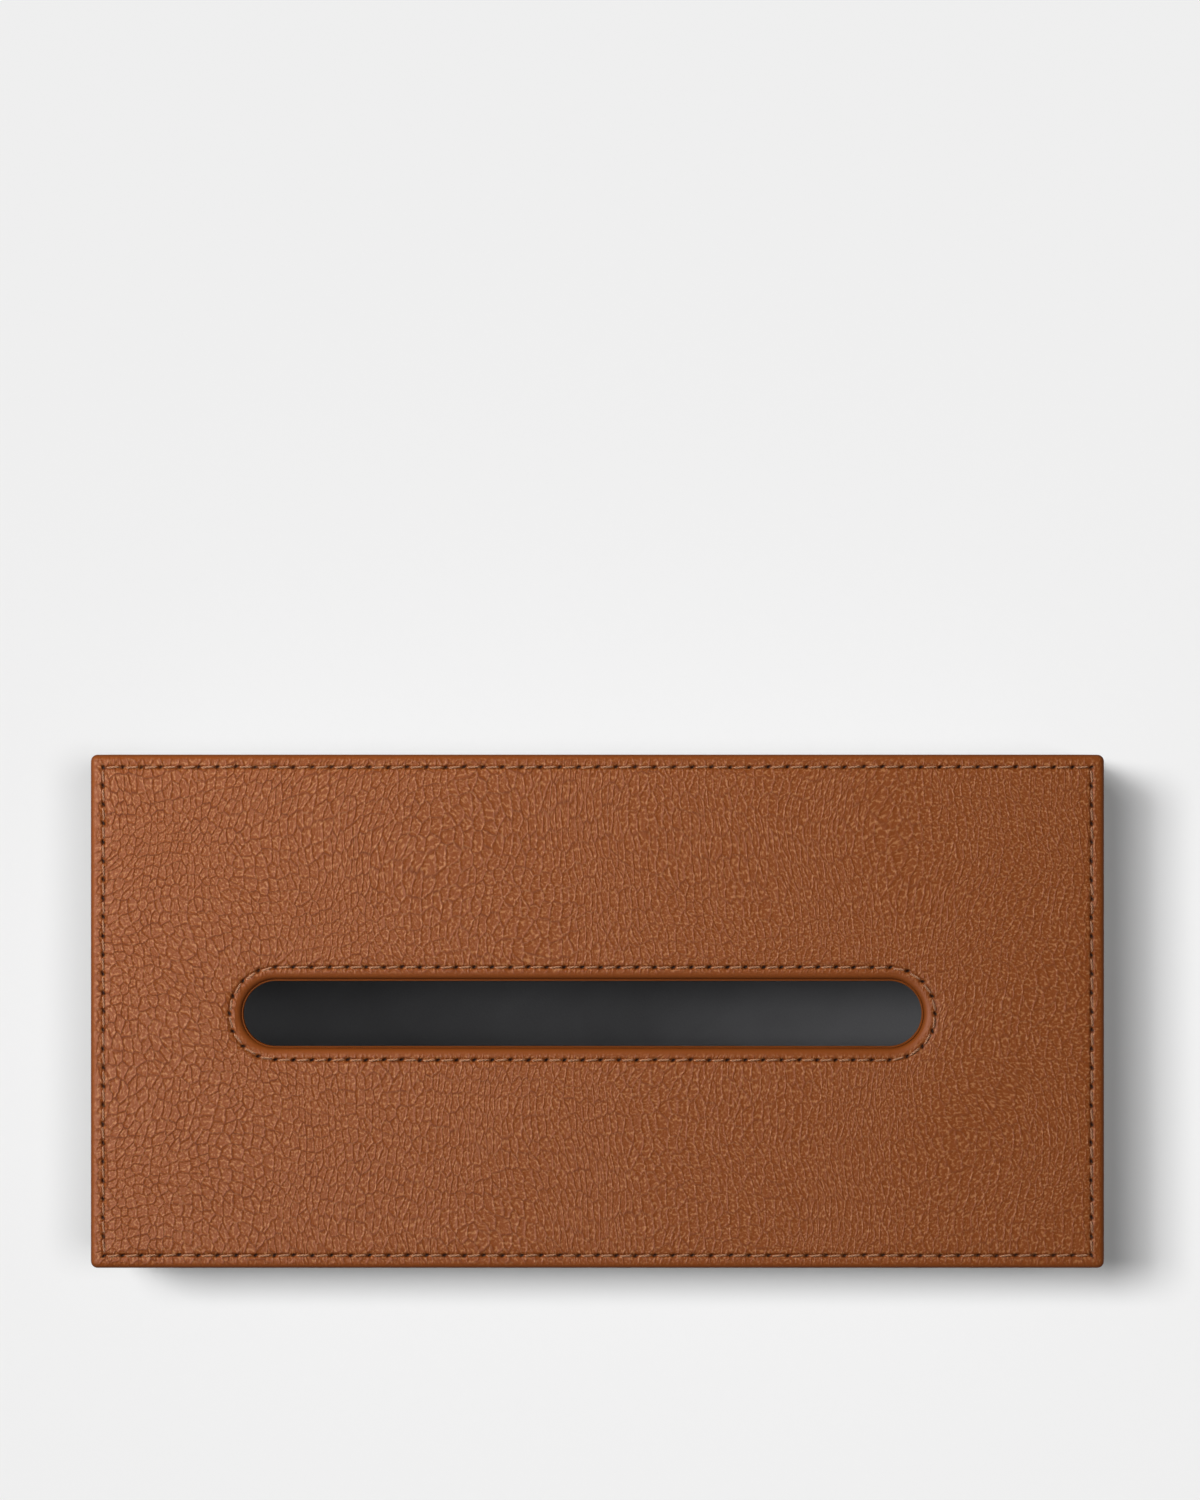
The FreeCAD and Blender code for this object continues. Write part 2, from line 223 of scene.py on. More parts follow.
def close_faces(rings, line_length, columns):
    """Closes rings that start and end on flat faces, each face in a short line along its middle.
    Gives all the rings and the faces between them."""
    line = outline(line_length, MIDDLE_LINE, LEAST_RADIUS, columns)
    rings = [ring(line, rings[0][0, 2]), *rings, ring(line, rings[-1][0, 2])]
    faces = quads(len(rings), columns, False, True).tolist()
    faces.append(list(range(columns))[::-1])
    faces.append([(len(rings) - 1) * columns + i for i in range(columns)])
    return rings, faces


def bell(distance, reach):
    """A share that is 1 where the distance is 0, and falls smoothly to a third at its reach."""
    return np.exp(-((distance / reach) ** 2))


def add_piece(name, points, faces, material, body, shades=(), unrolled=None):
    """A smooth mesh piece that rides on a body and stands for the CAD node of its name. For each point,
    shades are values that its material reads and unrolled is its place on the flat material."""
    mesh = bpy.data.meshes.new(name + "_dressed")
    mesh.from_pydata(np.asarray(points).reshape(-1, 3).tolist(), [], [list(map(int, f)) for f in faces])
    mesh.validate()
    mesh.shade_smooth()
    for shade, values in dict(shades).items():
        values = np.ravel(values).astype(np.float32)
        mesh.attributes.new(shade, "FLOAT", "POINT").data.foreach_set("value", values)
    if unrolled is not None:
        corners = np.empty(len(mesh.loops), dtype=np.int32)
        mesh.loops.foreach_get("vertex_index", corners)
        places = np.reshape(unrolled, (-1, 2))[corners].astype(np.float32)
        mesh.uv_layers.new(name="unrolled").data.foreach_set("uv", places.ravel())
    mesh.materials.append(material)
    piece = bpy.data.objects.new(name + "_dressed", mesh)
    bpy.context.scene.collection.objects.link(piece)
    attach(piece, body)
    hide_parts(name)
    return piece


def slot_place(sizes):
    """The slot's middle in plan, its length and its width."""
    low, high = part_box("slot_facing")
    across = high - low
    middle = np.array((low + high) / 2)[:2]
    return middle, across.x - 2 * sizes.facing_reach, across.y - 2 * sizes.facing_reach


# Seams


def edge_holes(sizes):
    """Needle holes of the seam along the top's edge, from one corner round to the next."""
    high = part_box("top_leather")[1]
    x, y = high.x - sizes.edge_seam, high.y - sizes.edge_seam
    corners = np.array([(-x, -y), (x, -y), (x, y), (-x, y)])
    holes = []
    for start, end in zip(corners, np.roll(corners, -1, axis=0)):
        count = round(np.linalg.norm(end - start) / sizes.edge_pitch)
        holes.append(start + (end - start) * np.arange(count)[:, None] / count)
    return np.concatenate(holes)


def slot_holes(sizes):
    """Needle holes of the seam round the slot."""
    middle, length, width = slot_place(sizes)
    spread = 2 * sizes.slot_seam
    lap = 2 * (length - width) + math.pi * (width + spread)
    count = 4 * round(lap / sizes.slot_pitch / 4)
    return middle + outline(length + spread, width + spread, (width + spread) / 2, count)


def sewn(holes, seed):
    """The same holes, each a little off its mark as a machine leaves them."""
    off_mark = 0.06 * MM
    return holes + np.random.default_rng(seed).normal(0, off_mark, holes.shape)


def all_holes(sizes):
    """Holes of both seams, and the direction in which each seam runs there."""
    seams = [sewn(edge_holes(sizes), 3), sewn(slot_holes(sizes), 5)]
    ahead = [np.roll(holes, -1, axis=0) - holes for holes in seams]
    return seams, [np.arctan2(step[:, 1], step[:, 0]) for step in ahead]


# Materials


def new_material(name):
    """An empty material and its node tree."""
    material = bpy.data.materials.new(name)
    material.use_nodes = True
    material.node_tree.nodes.clear()
    return material, material.node_tree


def add(tree, kind, inputs=(), out=0, **settings):
    """Adds a node with its settings, and sets or links its inputs by name or number.
    Gives one of its outputs, by name or number, or nothing where it has none."""
    node = tree.nodes.new("ShaderNode" + kind)
    for name, value in settings.items():
        setattr(node, name, value)
    for key, value in dict(inputs).items():
        if isinstance(value, bpy.types.NodeSocket):
            tree.links.new(value, node.inputs[key])
        else:
            node.inputs[key].default_value = value
    return node.outputs[out] if node.outputs else None


def finish_surface(tree, inputs):
    """Ends a material in one shader with these inputs."""
    add(tree, "OutputMaterial", {"Surface": add(tree, "BsdfPrincipled", inputs)})


def darker(tint, share):
    """A colour at this share of its brightness."""
    return (*(share * c for c in tint[:3]), 1.0)


def pebbled_leather(context):
    """Cowhide, pigment-finished and pressed with a pebble grain, the same for every piece cut from it. Soft
    pebbles in long ridges with thin creases between them, a fine hair grain, and a low satin sheen. Its
    colour also has painted shade in the creases, in the needle holes and along the seams and rims, and
    painted glints on the hair grain."""
    name = "cowhide_pigmented_pebble_grain"
    if name in bpy.data.materials:
        return bpy.data.materials[name]
    sizes, colours = context.scene.cover_sizes, context.scene.cover_colours
    material, tree = new_material(name)
    place = add(tree, "TexCoord", out="UV")
    # The grain leans one way and the other across the hide, wanders over a few pebbles and is ragged
    # within each. A drift has the span of its swings, and how far they move the grain
    drifts = ((60 * MM, 26 * MM), (9 * MM, 2 * MM), (1.6 * MM, 0.7 * MM))
    wander = place
    for span, reach in drifts:
        drift = add(tree, "TexNoise", {"Vector": place, "Scale": 1 / span, "Detail": 1.0}, out="Color")
        swing = add(tree, "VectorMath", {0: drift, 1: (0.5, 0.5, 0.5)}, operation="SUBTRACT")
        moved = {0: swing, 1: (reach, reach, 0), 2: wander}
        wander = add(tree, "VectorMath", moved, operation="MULTIPLY_ADD")
    # The pebbles are round and high at the left end of the hide. Towards the right they draw out into ridges
    # and lie lower, with less settled pigment and less painted shade in the creases. A change has its end,
    # first and last value
    spread = add(tree, "SeparateXYZ", {0: wander}).node.outputs
    left_end, middle, right_part = -120 * MM, 0.0, 60 * MM
    changes = {
        "X": (middle, 1 / sizes.pebble_width, 1 / sizes.drawn_width),
        "Y": (middle, 1 / sizes.pebble_length, 1 / sizes.drawn_length),
        "pebbles": (right_part, 0.34, 0.2),
        "ridges": (middle, 0.0, 0.2),
        # The pigment change scales both the settled pigment and the painted shade in the creases
        "pigment": (right_part, 1.0, 0.4),
    }
    hide = {}
    for change, (end, first, last) in changes.items():
        along = {"Value": spread["X"], "From Min": left_end, "From Max": end, "To Min": first, "To Max": last}
        hide[change] = add(tree, "MapRange", along)
    lines = {}
    for axis in "XY":
        lines[axis] = add(tree, "Math", {0: spread[axis], 1: hide[axis]}, operation="MULTIPLY")
    pebble_place = add(tree, "CombineXYZ", lines)
    ridge_grid = {0: wander, 1: (1 / sizes.drawn_width, 1 / sizes.ridge_length, 1)}
    ridge_place = add(tree, "VectorMath", ridge_grid, operation="MULTIPLY")
    edges = {"feature": "DISTANCE_TO_EDGE", "voronoi_dimensions": "2D"}
    from_crease = []
    for grid in (pebble_place, ridge_place):
        cells = {"Vector": grid, "Scale": 1.0, "Randomness": 0.75}
        from_crease.append(add(tree, "TexVoronoi", cells, out="Distance", **edges))
    pebble, ridge = from_crease
    raised = {"Value": pebble, "From Max": 0.2, "To Max": hide["pebbles"]}
    raised = add(tree, "MapRange", raised, interpolation_type="SMOOTHSTEP")
    ridge = add(tree, "Math", {0: ridge, 1: 0.4}, operation="POWER")
    raised = add(tree, "Math", {0: ridge, 1: hide["ridges"], 2: raised}, operation="MULTIPLY_ADD")
    # Hair grain, drawn at 0.6 by 0.75 mm so that it shows
    hair_grid = {0: wander, 1: (1 / (0.6 * MM), 1 / (0.75 * MM), 1)}
    hair_place = add(tree, "VectorMath", hair_grid, operation="MULTIPLY")
    hair = add(tree, "TexNoise", {"Vector": hair_place, "Scale": 1.0, "Detail": 1.0}, out="Fac")
    height = add(tree, "Math", {0: hair, 1: 0.3, 2: raised}, operation="MULTIPLY_ADD")
    burnish, stretched, pierced = (
        add(tree, "Attribute", attribute_name=layer, out="Fac")
        for layer in ("burnish", "stretched", "pierced")
    )
    relief = add(tree, "MapRange", {"Value": stretched, "To Min": 1.0, "To Max": 0.1})
    bump = add(tree, "Bump", {"Strength": relief, "Distance": sizes.grain_depth, "Height": height})
    # Creases are darkened with settled pigment and with painted shade, more in some places than in others,
    # and the hair grain is lightened with thin pigment and painted glints
    crease_patches = add(tree, "TexNoise", {"Vector": place, "Scale": 1 / (7 * MM), "Detail": 2.0}, out="Fac")
    settled_and_shaded = {"Value": crease_patches, "From Min": 0.35, "From Max": 0.65, "To Min": 0.4, "To Max": 0.85}
    settled_and_shaded = add(tree, "MapRange", settled_and_shaded)
    for share in (relief, hide["pigment"]):
        settled_and_shaded = add(tree, "Math", {0: settled_and_shaded, 1: share}, operation="MULTIPLY")
    crease_pigment_and_shade = add(tree, "MapRange", {"Value": pebble, "From Max": 0.09, "To Min": settled_and_shaded, "To Max": 0.0})
    # Lightens the hair grain's tops with thin pigment and painted glints
    rubbed = add(tree, "MapRange", {"Value": hair, "From Min": 0.5, "From Max": 0.68, "To Max": 0.9})
    rubbed = add(tree, "Math", {0: rubbed, 1: relief}, operation="MULTIPLY")
    dull = add(tree, "Math", {0: burnish, 1: crease_pigment_and_shade}, operation="MAXIMUM")
    dull = add(tree, "MapRange", {"Value": dull, "To Min": 0.35, "To Max": 0.75})
    shade = tuple(colours.leather)
    # Layers over the tan: painted glints with thin pigment, settled pigment with painted shade in the
    # creases, burnished edges, and painted shade in the needle holes and along the seams and rims
    layers = (
        (rubbed, colours.ridge),
        (crease_pigment_and_shade, colours.crease_pigment_and_shade),
        (burnish, colours.burnish),
        (pierced, colours.hole),
    )
    for share, tint in layers:
        tones = {0: share, 6: shade, 7: tuple(tint)}
        shade = add(tree, "Mix", tones, data_type="RGBA", out=2)
    finish_surface(
        tree,
        {"Base Color": shade, "Roughness": dull, "IOR": 1.5, "Specular IOR Level": 0.22, "Normal": bump},
    )
    return material


def twisted_thread(colours):
    """Polyester sewing thread, three plies twisted and bonded. Pale filaments, with a painted highlight along
    the crown of each ply and painted shade between the plies."""
    material, tree = new_material("polyester_thread_bonded_twist")
    along = add(tree, "TexCoord", out="UV")
    # Filaments are drawn about six to a ply so that they show
    filaments = {"Vector": along, "Scale": 1.0, "Distortion": 1.5, "Detail": 1.0}
    filaments = add(tree, "TexWave", filaments, out="Fac")
    # How far a point lies out from the thread's middle sets the painted highlight and the painted shade
    crown = add(tree, "Attribute", attribute_name="crown", out="Fac")
    lit = add(tree, "Math", {0: filaments, 1: 0.2, 2: crown}, operation="MULTIPLY_ADD")
    share = add(tree, "MapRange", {"Value": lit, "From Min": 0.62, "From Max": 1.05})
    tones = {0: share, 6: tuple(colours.thread_shade), 7: tuple(colours.thread)}
    shade = add(tree, "Mix", tones, data_type="RGBA", out=2)
    bump = add(tree, "Bump", {"Strength": 0.4, "Distance": 0.02 * MM, "Height": filaments})
    finish_surface(tree, {"Base Color": shade, "Roughness": 0.5, "Specular IOR Level": 0.3, "Normal": bump})
    return material


def microsuede(colours):
    """Polyester microsuede, brushed, the same for every lining.
    A short even nap that scatters light, with faint darker strokes where it lies the other way."""
    name = "polyester_microsuede_brushed"
    if name in bpy.data.materials:
        return bpy.data.materials[name]
    material, tree = new_material(name)
    place = add(tree, "TexCoord", out="Object")
    nap = add(tree, "TexNoise", {"Vector": place, "Scale": 1 / (0.5 * MM), "Detail": 3.0}, out="Fac")
    stroke = {"Vector": place, "Scale": 1 / (25 * MM), "Detail": 2.0, "Distortion": 0.8}
    stroke = add(tree, "TexNoise", stroke, out="Fac")
    lay = add(tree, "Math", {0: nap, 1: 0.4, 2: stroke}, operation="MULTIPLY_ADD")
    share = add(tree, "MapRange", {"Value": lay, "From Min": 0.45, "From Max": 0.95})
    tones = {0: share, 6: darker(colours.lining, 0.82), 7: tuple(colours.lining)}
    shade = add(tree, "Mix", tones, data_type="RGBA", out=2)
    bump = add(tree, "Bump", {"Strength": 0.5, "Distance": 0.08 * MM, "Height": nap})
    finish_surface(
        tree,
        {
            "Base Color": shade,
            "Roughness": 0.95,
            "Specular IOR Level": 0.2,
            "Sheen Weight": 0.3,
            "Sheen Roughness": 0.6,
            "Normal": bump,
        },
    )
    return material


def pressed_felt(colours):
    """Wool felt, carded and pressed.
    Matted fibres in two close greys with no gloss."""
    material, tree = new_material("wool_felt_pressed")
    place = add(tree, "TexCoord", out="Object")
    # Fibres lie every way, so two stretched patterns cross
    fibre_length, fibre_width = 2 * MM, 0.35 * MM
    fibres = []
    for along_x, along_y in ((fibre_length, fibre_width), (fibre_width, fibre_length)):
        stretched = add(tree, "Mapping", {"Vector": place, "Scale": (1 / along_x, 1 / along_y, 1 / MM)})
        carded = {"Vector": stretched, "Scale": 1.0, "Distortion": 1.2}
        fibres.append(add(tree, "TexNoise", carded, out="Fac"))
    matted = add(tree, "Math", enumerate(fibres), operation="MAXIMUM")
    share = add(tree, "MapRange", {"Value": matted, "From Min": 0.4, "From Max": 0.7})
    tones = {0: share, 6: darker(colours.felt, 0.6), 7: tuple(colours.felt)}
    shade = add(tree, "Mix", tones, data_type="RGBA", out=2)
    bump = add(tree, "Bump", {"Strength": 0.8, "Distance": 0.25 * MM, "Height": matted})
    finish_surface(
        tree,
        {
            "Base Color": shade,
            "Roughness": 1.0,
            "Specular IOR Level": 0.1,
            "Sheen Weight": 0.4,
            "Normal": bump,
        },
    )
    return material


def pressed_fibreboard(colours):
    """High-density fibreboard, hot-pressed and left raw.
    Fine matted wood fibre, mid brown with darker flecks."""
    material, tree = new_material("fibreboard_hot_pressed")
    place = add(tree, "TexCoord", out="Object")
    fibre = {"Vector": place, "Scale": 1 / (1.2 * MM), "Detail": 4.0, "Distortion": 2.0}
    fibre = add(tree, "TexNoise", fibre, out="Fac")
    fleck = add(tree, "TexNoise", {"Vector": place, "Scale": 1 / (4 * MM), "Detail": 5.0}, out="Fac")
    pressed = add(tree, "Math", {0: fibre, 1: fleck}, operation="MULTIPLY")
    share = add(tree, "MapRange", {"Value": pressed, "From Min": 0.12, "From Max": 0.35})
    tones = {0: share, 6: darker(colours.board, 0.45), 7: tuple(colours.board)}
    shade = add(tree, "Mix", tones, data_type="RGBA", out=2)
    bump = add(tree, "Bump", {"Strength": 0.4, "Distance": 0.05 * MM, "Height": fibre})
    finish_surface(tree, {"Base Color": shade, "Roughness": 0.8, "Specular IOR Level": 0.3, "Normal": bump})
    return material


def plated_metal(name, tint, roughness, spangle):
    """Plated metal, tumbled before plating.
    Bright, with a faint cloudiness that dulls the reflections in patches of the spangle's size."""
    cloudiness = 0.15
    material, tree = new_material(name)
    place = add(tree, "TexCoord", out="Object")
    cloud = add(tree, "TexVoronoi", {"Vector": place, "Scale": 1 / spangle}, out="Color")
    tone = add(tree, "SeparateColor", {0: cloud}).node.outputs
    dull = add(tree, "MapRange", {"Value": tone[0], "To Min": roughness, "To Max": roughness + cloudiness})
    tones = {0: tone[1], 6: darker(tint, 0.85), 7: tuple(tint)}
    shade = add(tree, "Mix", tones, data_type="RGBA", out=2)
    finish_surface(tree, {"Base Color": shade, "Metallic": 1.0, "Roughness": dull})
    return material


# Pieces


class TISSUE_COVER_OT_top_leather(bpy.types.Operator):
    """Lays the top panel: rolled over at its edge and at the slot, drawn in along both seams"""

    bl_idname = "tissue_cover.top_leather"
    bl_label = "Top leather"

    def execute(self, context):
        sizes = context.scene.cover_sizes
        low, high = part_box("top_leather")
        length, width = high.x - low.x, high.y - low.y
        middle, slot_length, slot_width = slot_place(sizes)
        slot_length += 2 * sizes.slot_ledge
        slot_width += 2 * sizes.slot_ledge
        slot_seam = sizes.slot_seam - sizes.slot_ledge
        slot_profile = self.profile(sizes, low.z, high.z, slot_seam, sizes.slot_reach, 0)
        edge_profile = self.profile(sizes, low.z, high.z, sizes.edge_seam, sizes.edge_reach, sizes.edge_tilt)
        spacing, between = 0.92 * MM, 6
        columns = 4 * round((length + width) / spacing)
        rings = rings_round_slot((middle, slot_length, slot_width), slot_profile, columns)
        outer = rings_inside(length, width, sizes.corner, edge_profile, columns)
        for step in range(between):
            rings.append(rings[-1] + (outer[-1] - rings[-1]) / (between + 1 - step))
        points = np.stack(rings + outer[::-1])

        from_slot = np.array([inset for inset, _ in slot_profile])
        from_edge = np.array([inset for inset, _ in edge_profile])[::-1]

        def by_ring(near_slot, near_edge):
            shares = np.concatenate([near_slot, np.zeros(between), near_edge])
            return np.repeat(np.clip(shares, 0, 1), columns)

        def fade(distance, end, over):
            return (end - distance) / over

        def dark_lines(from_rim, at_rim, from_seam):
            """The shade at the rim, and along the side of the seam that is away from it."""
            rim_reach, seam_reach = 0.4 * MM, 0.35 * MM
            at_seam, far_side = 0.22, 0.3 * MM
            return at_rim * bell(from_rim, rim_reach) + at_seam * bell(from_seam - far_side, seam_reach)

        # The leather is burnished where it rolls over, and its grain is stretched flat a little further in
        burnish = by_ring(
            fade(from_slot, end=1.17 * MM, over=0.9 * MM),
            fade(from_edge, end=0.88 * MM, over=0.8 * MM),
        )
        stretched = by_ring(
            fade(from_slot, end=2.4 * MM, over=1.2 * MM),
            fade(from_edge, end=2 * MM, over=1.5 * MM),
        )
        lines = by_ring(
            dark_lines(from_slot, at_rim=0.1, from_seam=from_slot - slot_seam),
            dark_lines(from_edge, at_rim=0.4, from_seam=from_edge - sizes.edge_seam),
        )
        # The needle holes and the lines along the rims and seams are painted dark as shade
        pierced = np.maximum(self.pierce(points, sizes), lines)
        panel = add_piece(
            "top_leather",
            points,
            quads(len(points), columns, True, True),
            pebbled_leather(context),
            "cover",
            {"burnish": burnish, "stretched": stretched, "pierced": pierced},
            points[:, :, :2],
        )
        return {"FINISHED"}

    def profile(self, sizes, bottom, top, seam, reach, tilt):
        """How far in from an edge each ring lies, and its height: up the rolled edge and over the seam."""
        # Rings lie close together on the roll and over the seam, and further apart past it
        roll_step, seam_step = 0.19 * MM, 0.2 * MM
        over_seam, past_seam, flat = seam + 1.0 * MM, seam + 1.4 * MM, seam + 3.5 * MM
        turn = np.linspace(0, QUARTER, round(reach / roll_step))
        on_roll = reach * (1 - np.cos(turn))
        on_seam = np.arange(reach + seam_step / 4, over_seam, seam_step)
        inset = np.concatenate([on_roll, on_seam, np.linspace(past_seam, flat, 3)])
        height = top - math.tan(tilt) * np.clip(seam - inset, 0, None)
        height[: len(turn)] -= (sizes.roll - math.tan(tilt) * seam) * (1 - np.sin(turn))
        # A narrow groove in a wide shallow dip
        groove_reach, dip, dip_reach = 0.36 * MM, 0.12 * MM, 1.5 * MM
        height -= sizes.groove * bell(inset - seam, groove_reach)
        height -= dip * bell(inset - seam, dip_reach)
        return [(0.0, bottom), *zip(inset, height)]

    def pierce(self, points, sizes):
        """Sinks a slanted hole at each needle hole, and returns how far each point lies inside one, as the
        share of painted shade in the hole.
        """
        near_top, hole_depth = 0.8 * MM, 0.4 * MM
        darkness, clear_rim = 1.8, 0.15
        seams, directions = all_holes(sizes)
        holes, directions = np.concatenate(seams), np.concatenate(directions) + sizes.hole_slant
        tree = KDTree(len(holes))
        for i, (x, y) in enumerate(holes):
            tree.insert((x, y, 0), i)
        tree.balance()
        flat = points.reshape(-1, 3)
        upper = np.flatnonzero(flat[:, 2] > flat[:, 2].max() - near_top)
        nearest = np.array([tree.find((x, y, 0))[1] for x, y in flat[upper, :2]])
        away = flat[upper, :2] - holes[nearest]
        turn = directions[nearest]
        along = away[:, 0] * np.cos(turn) + away[:, 1] * np.sin(turn)
        across = away[:, 1] * np.cos(turn) - away[:, 0] * np.sin(turn)
        inside = bell(along, sizes.hole_length / 2) * bell(across, sizes.hole_width / 2)
        flat[upper, 2] -= hole_depth * inside
        pierced = np.zeros(len(flat))
        pierced[upper] = np.clip(darkness * inside - clear_rim, 0, 1)
        return pierced


class TISSUE_COVER_OT_side_leather(bpy.types.Operator):
    """Wraps one strip round the four walls, turned under and up inside, and butts its ends on the back"""

    bl_idname = "tissue_cover.side_leather"
    bl_label = "Side leather"

    def execute(self, context):
        sizes = context.scene.cover_sizes
        low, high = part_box("side_leather")
        length, width = high.x - low.x, high.y - low.y
        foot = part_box("front_board")[0].z
        lining_low, lining_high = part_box("front_lining")
        hem, hem_top = lining_high.y - low.y, lining_low.z
        cut_edge, soft, turned_up = 0.4 * MM, 0.3 * MM, 0.6 * MM
        # Rows lie close together near both edges, where the leather turns smooth
        upper, lower = high.z - cut_edge, low.z + sizes.roll
        close, margin, wide_rows = 0.5 * MM, 6 * MM, 12
        near = np.arange(1, 6) * close
        far = np.linspace(upper - margin, lower + margin, wide_rows)
        wall = [(0, z) for z in np.concatenate([upper - near, far, lower + near[::-1]])]
        profile = (
            rounding(cut_edge, high.z, 1)[::-1]
            + wall
            + rounding(sizes.roll, low.z, -1)
            + [(hem - soft, low.z), (hem, low.z + soft), (hem, hem_top), (hem - turned_up, hem_top)]
            + [(hem - turned_up, foot), (sizes.leather, foot), (sizes.leather, high.z)]
        )
        columns = 640
        points = np.stack(rings_inside(length, width, sizes.corner, profile, columns))
        # The strip starts and ends at the seam, near the left end of the back
        from_end, gap = 14 * MM, 0.2 * MM
        plan = outline(length, width, sizes.corner, columns)
        off_seam = np.abs(plan[:, 0] + length / 2 - from_end) + (plan[:, 1] < 0)
        points = np.roll(points, -int(np.argmin(off_seam)), axis=1)
        points = np.concatenate([points, points[:, :1]], axis=1)
        points[:, 0, 0] -= gap / 2
        points[:, -1, 0] += gap / 2
        rows, stations = points.shape[:2]
        faces = quads(rows, stations, True, False).tolist()
        faces.append([r * stations for r in range(rows)])
        faces.append([r * stations + columns for r in reversed(range(rows))])
        strip = 2 * (length + width) - (8 - 2 * math.pi) * sizes.corner
        around = np.linspace(-strip / 2, strip / 2, stations)
        rubbed = 2 * MM
        burnish = [1 - min(z - low.z, high.z - z, rubbed) / rubbed for _, z in profile]
        burnish = np.repeat(burnish, stations)
        wrap = add_piece(
            "side_leather",
            points,
            faces,
            pebbled_leather(context),
            "cover",
            {"burnish": burnish, "stretched": burnish},
            np.stack([np.broadcast_to(around, (rows, stations)), points[:, :, 2]], axis=2),
        )
        return {"FINISHED"}


class TISSUE_COVER_OT_slot_facing(bpy.types.Operator):
    """Covers the slot's wall with a strip that is turned out under the ceiling"""

    bl_idname = "tissue_cover.slot_facing"
    bl_label = "Slot facing"

    def execute(self, context):
        sizes = context.scene.cover_sizes
        low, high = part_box("slot_facing")
        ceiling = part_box("top_lining")[0].z
        slot = slot_place(sizes)
        thick, lip, lip_rise, soft = 1.0 * MM, 0.2 * MM, 0.4 * MM, 0.2 * MM
        tucked_in = (0.45 * MM, high.z - 0.1 * MM)
        reach = sizes.facing_reach
        profile = (
            [tucked_in]
            + rounding(lip, high.z + lip_rise, 1)[::-1]
            + rounding(ceiling - low.z, low.z, -1)
            + [(reach - soft, low.z), (reach, low.z + soft)]
            + [(reach, ceiling), (thick, ceiling), (thick, high.z)]
        )
        columns = 480
        points = np.stack(rings_round_slot(slot, profile, columns))
        smooth = np.ones((len(profile), columns))
        facing = add_piece(
            "slot_facing",
            points,
            quads(len(profile), columns, True, True)[:, ::-1],
            pebbled_leather(context),
            "cover",
            {"burnish": smooth, "stretched": smooth},
            points[:, :, :2],
        )
        return {"FINISHED"}


